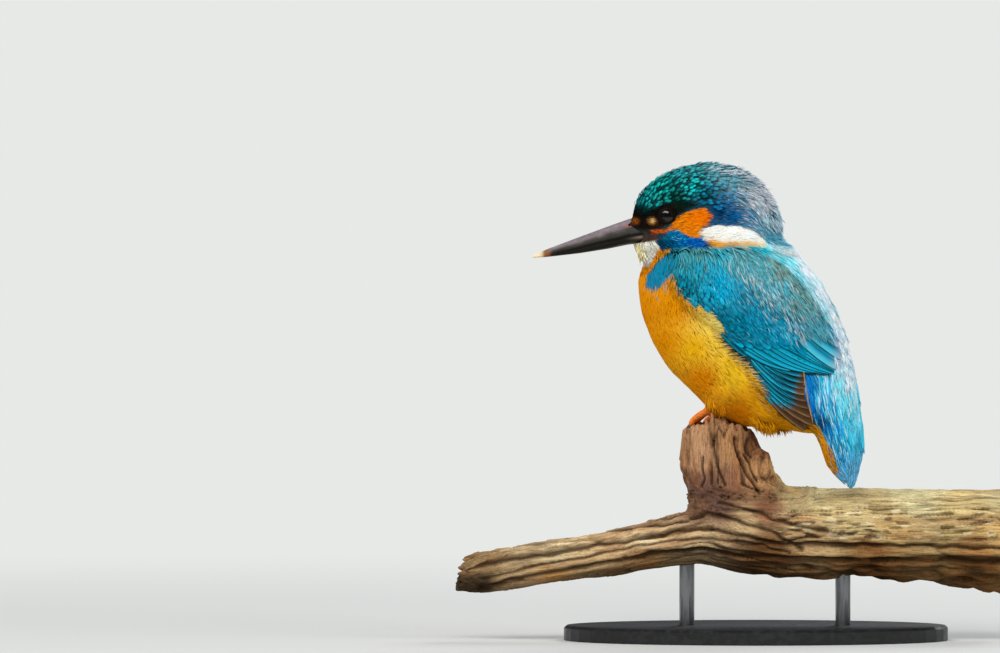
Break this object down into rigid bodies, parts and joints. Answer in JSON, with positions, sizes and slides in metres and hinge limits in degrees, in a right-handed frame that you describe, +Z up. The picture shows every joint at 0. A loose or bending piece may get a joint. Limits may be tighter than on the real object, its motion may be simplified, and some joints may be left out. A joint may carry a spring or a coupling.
{
  "type": "common kingfisher on a perch",
  "caption": "Still, life-size kingfisher with folded wings, perched on the broken stump of a dead branch, its head turned to its left, on a plain oval stand.",
  "frame": {"origin": "On the stand's flat underside, below the bird's breast, in the bird's plane of symmetry", "axes": "+Z up. The bird's body faces -X and its left side faces -Y. The head is turned 20 degrees to its left and the branch runs 20 degrees off X, from -X -Y to +X +Y"},
  "size_m": [0.1795, 0.087, 0.1586],
  "materials": {
    "crown_blue": "glossy blue-green feathers with turquoise spots",
    "neck_white": "soft white feathers",
    "breast_orange": "soft orange feathers",
    "wing_teal": "stiff blue-green feathers with a sheen",
    "tail_blue": "stiff cobalt-blue feathers with a sheen",
    "bill_black": "smooth dark horn with a pale tip",
    "eye_black": "wet and very dark brown",
    "leg_orange": "scaled orange-red skin",
    "claw_dark": "smooth dark horn",
    "weathered_wood": "bare, weathered and cracked",
    "stand_black": "matt black",
    "rod_steel": "brushed along its length"
  },
  "bodies": {
    "root": {"bill_upper": "bill_black", "bill_lower": "bill_black", "eye_left": "eye_black", "eye_right": "eye_black", "head": "crown_blue", "neck": "neck_white", "trunk": "breast_orange", "wing_left": "wing_teal", "wing_right": "wing_teal", "tail": "tail_blue", "leg_left": "leg_orange", "leg_right": "leg_orange", "claw_left_inner": "claw_dark", "claw_left_middle": "claw_dark", "claw_left_outer": "claw_dark", "claw_left_hind": "claw_dark", "claw_right_inner": "claw_dark", "claw_right_middle": "claw_dark", "claw_right_outer": "claw_dark", "claw_right_hind": "claw_dark", "perch_branch": "weathered_wood", "stand_base": "stand_black", "stand_rod_front": "rod_steel", "stand_rod_back": "rod_steel"}
  },
  "joints": []
}
